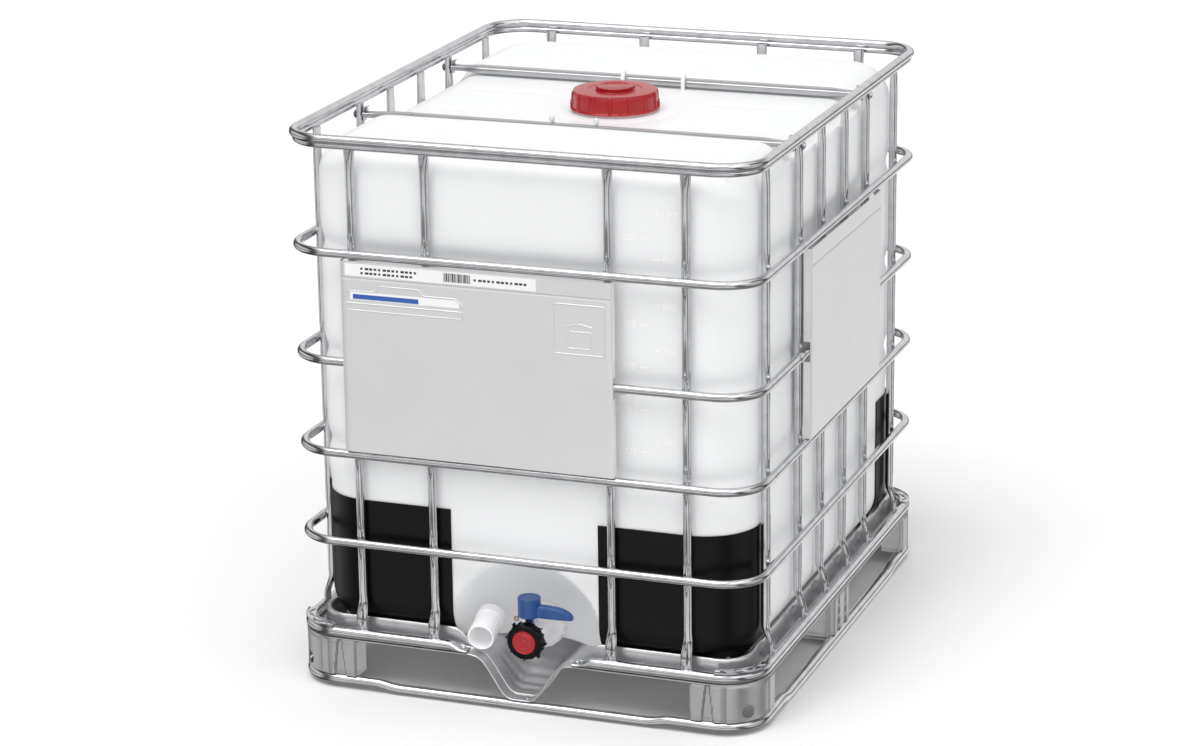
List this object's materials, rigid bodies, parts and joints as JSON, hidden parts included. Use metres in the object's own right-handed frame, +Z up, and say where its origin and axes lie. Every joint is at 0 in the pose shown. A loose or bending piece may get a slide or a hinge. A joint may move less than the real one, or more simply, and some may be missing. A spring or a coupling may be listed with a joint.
{
  "type": "intermediate bulk container",
  "caption": "Bulk liquid container: white plastic bottle with screw filler cap and bottom outlet valve, held in a galvanised tubular cage on a steel pallet.",
  "frame": {"origin": "on the floor, under the middle of the pallet", "axes": "+Z up; +X to the right seen from the front; -Y is the front, with the outlet valve"},
  "size_m": [1, 1.2, 1.16],
  "materials": {
    "galvanised_tube": "bright galvanised tube",
    "galvanised_sheet": "bright galvanised pressed sheet",
    "label_sheet": "satin galvanised sheet",
    "zinc_bolt": "zinc plated",
    "natural_hdpe": "blow-moulded, slightly translucent",
    "white_moulding": "injection moulded",
    "red_moulding": "injection moulded",
    "black_moulding": "injection moulded",
    "blue_moulding": "injection moulded",
    "grey_seal": "soft seal"
  },
  "bodies": {
    "container": {"top_ring": "galvanised_tube", "ring_upper": "galvanised_tube", "ring_middle": "galvanised_tube", "ring_lower": "galvanised_tube", "ring_bottom": "galvanised_tube", "upright_front_1": "galvanised_tube", "upright_front_2": "galvanised_tube", "upright_front_3": "galvanised_tube", "upright_front_4": "galvanised_tube", "upright_back_1": "galvanised_tube", "upright_back_2": "galvanised_tube", "upright_back_3": "galvanised_tube", "upright_back_4": "galvanised_tube", "upright_left_1": "galvanised_tube", "upright_left_2": "galvanised_tube", "upright_left_3": "galvanised_tube", "upright_left_4": "galvanised_tube", "upright_left_5": "galvanised_tube", "upright_left_6": "galvanised_tube", "upright_right_1": "galvanised_tube", "upright_right_2": "galvanised_tube", "upright_right_3": "galvanised_tube", "upright_right_4": "galvanised_tube", "upright_right_5": "galvanised_tube", "upright_right_6": "galvanised_tube", "pallet_frame": "galvanised_tube", "base_runner": "galvanised_tube", "crossbar_front": "galvanised_tube", "crossbar_back": "galvanised_tube", "corner_foot_front_left": "galvanised_sheet", "corner_foot_front_right": "galvanised_sheet", "corner_foot_back_left": "galvanised_sheet", "corner_foot_back_right": "galvanised_sheet", "middle_foot_left": "galvanised_sheet", "middle_foot_right": "galvanised_sheet", "middle_foot_back": "galvanised_sheet", "base_pan": "galvanised_sheet", "cross_runner": "galvanised_sheet", "label_plate_front": "label_sheet", "label_plate_right": "label_sheet", "crossbar_bolt_front_left": "zinc_bolt", "crossbar_bolt_front_right": "zinc_bolt", "crossbar_bolt_back_left": "zinc_bolt", "crossbar_bolt_back_right": "zinc_bolt", "inner_bottle": "natural_hdpe", "valve_body": "white_moulding", "valve_union_nut": "white_moulding", "corner_protector_front_left": "black_moulding", "corner_protector_front_right": "black_moulding", "corner_protector_back_left": "black_moulding", "corner_protector_back_right": "black_moulding"},
    "filler_cap_seal": {"fill_cap_seal": "grey_seal"},
    "filler_cap": {"fill_cap": "red_moulding"},
    "vent_bung_seal": {"vent_bung_seal": "grey_seal"},
    "vent_bung": {"vent_bung": "red_moulding"},
    "outlet_cap_disc": {"outlet_cap_disc": "red_moulding"},
    "outlet_cap": {"outlet_cap": "black_moulding"},
    "valve_handle": {"valve_handle": "blue_moulding", "valve_disc": "white_moulding"},
    "discharge_spout": {"discharge_spout": "white_moulding"}
  },
  "joints": [
    {"name": "filler_cap_rise", "type": "slide", "parent": "container", "child": "filler_cap_seal", "axis": [0, 0, 1], "range_m": [0, 0.0106]},
    {"name": "filler_cap_turn", "type": "hinge", "parent": "filler_cap_seal", "child": "filler_cap", "pos_m": [0, 0, 1.13], "axis": [0, 0, 1], "range_deg": [0, 540]},
    {"name": "vent_bung_rise", "type": "slide", "parent": "filler_cap", "child": "vent_bung_seal", "axis": [0, 0, 1], "range_m": [0, 0.007]},
    {"name": "vent_bung_turn", "type": "hinge", "parent": "vent_bung_seal", "child": "vent_bung", "pos_m": [0, 0, 1.15], "axis": [0, 0, 1], "range_deg": [0, 1080]},
    {"name": "outlet_cap_pull", "type": "slide", "parent": "container", "child": "outlet_cap_disc", "axis": [0, -1, 0], "range_m": [0, 0.0091]},
    {"name": "outlet_cap_turn", "type": "hinge", "parent": "outlet_cap_disc", "child": "outlet_cap", "pos_m": [0, -0.56, 0.138], "axis": [0, -1, 0], "range_deg": [0, 540]},
    {"name": "valve_open", "type": "hinge", "parent": "container", "child": "valve_handle", "pos_m": [0, -0.537, 0.2], "axis": [0, 0, -1], "range_deg": [0, 90]},
    {"name": "spout_withdraw", "type": "slide", "parent": "container", "child": "discharge_spout", "axis": [0, -0.9404, 0.3401], "range_m": [0, 0.15]}
  ],
  "couplings": [
    {"joint": "filler_cap_rise", "follows": "filler_cap_turn", "m_per_rad": 0.0011141},
    {"joint": "vent_bung_rise", "follows": "vent_bung_turn", "m_per_rad": 0.0003675},
    {"joint": "outlet_cap_pull", "follows": "outlet_cap_turn", "m_per_rad": 0.0009549}
  ]
}
